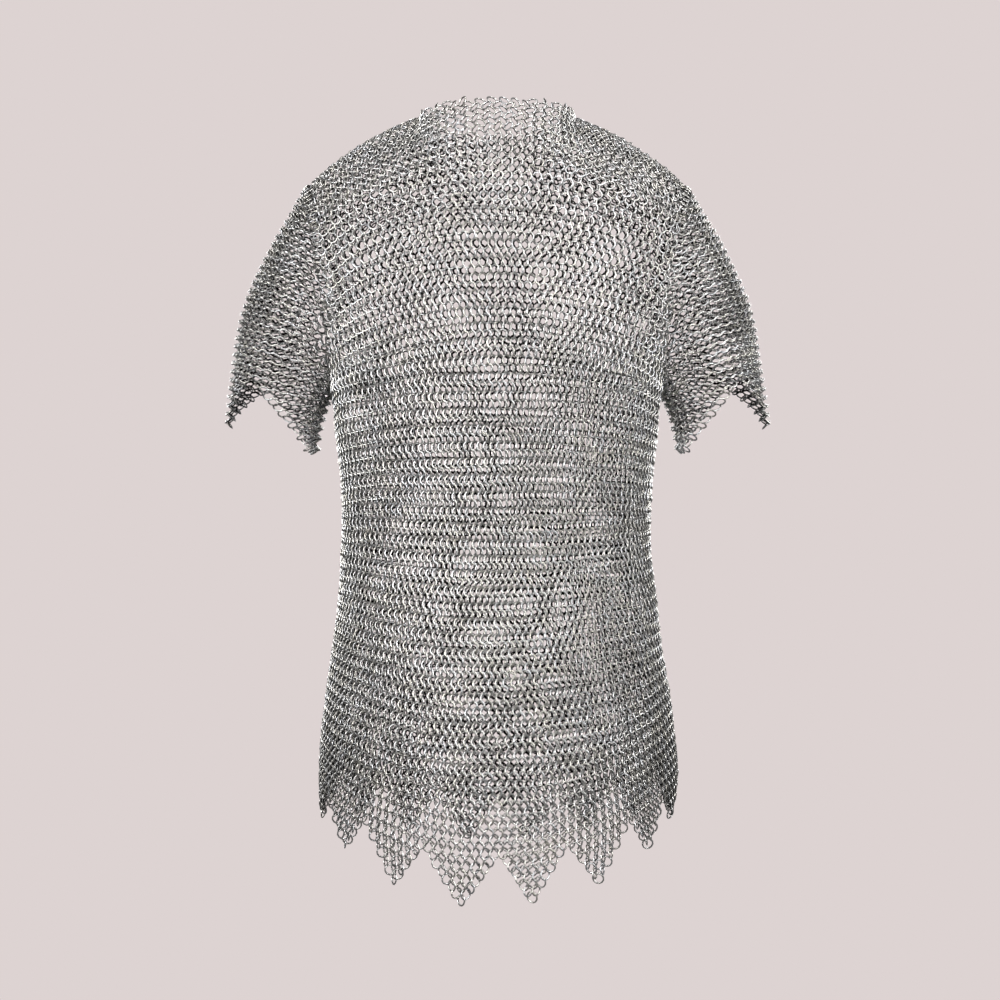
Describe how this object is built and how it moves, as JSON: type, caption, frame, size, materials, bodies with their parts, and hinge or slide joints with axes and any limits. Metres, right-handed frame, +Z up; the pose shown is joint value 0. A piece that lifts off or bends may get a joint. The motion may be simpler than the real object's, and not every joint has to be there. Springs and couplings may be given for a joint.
{
  "type": "mail hauberk",
  "caption": "Short-sleeved mail shirt in its hollow worn form, with a round neck, a straight skirt and pointed hem and cuffs.",
  "frame": {"origin": "middle of the neck opening, level with its side edges, where the shirt rests on the shoulders", "axes": "+Z up, the wearer faces -Y, and the wearer's left arm is on +X"},
  "size_m": [0.5878, 0.27, 0.8137],
  "materials": {
    "mail": "satin zinc-plated wire"
  },
  "bodies": {
    "root": {"front_panel": "mail", "back_panel": "mail", "left_sleeve": "mail", "right_sleeve": "mail"}
  },
  "joints": []
}
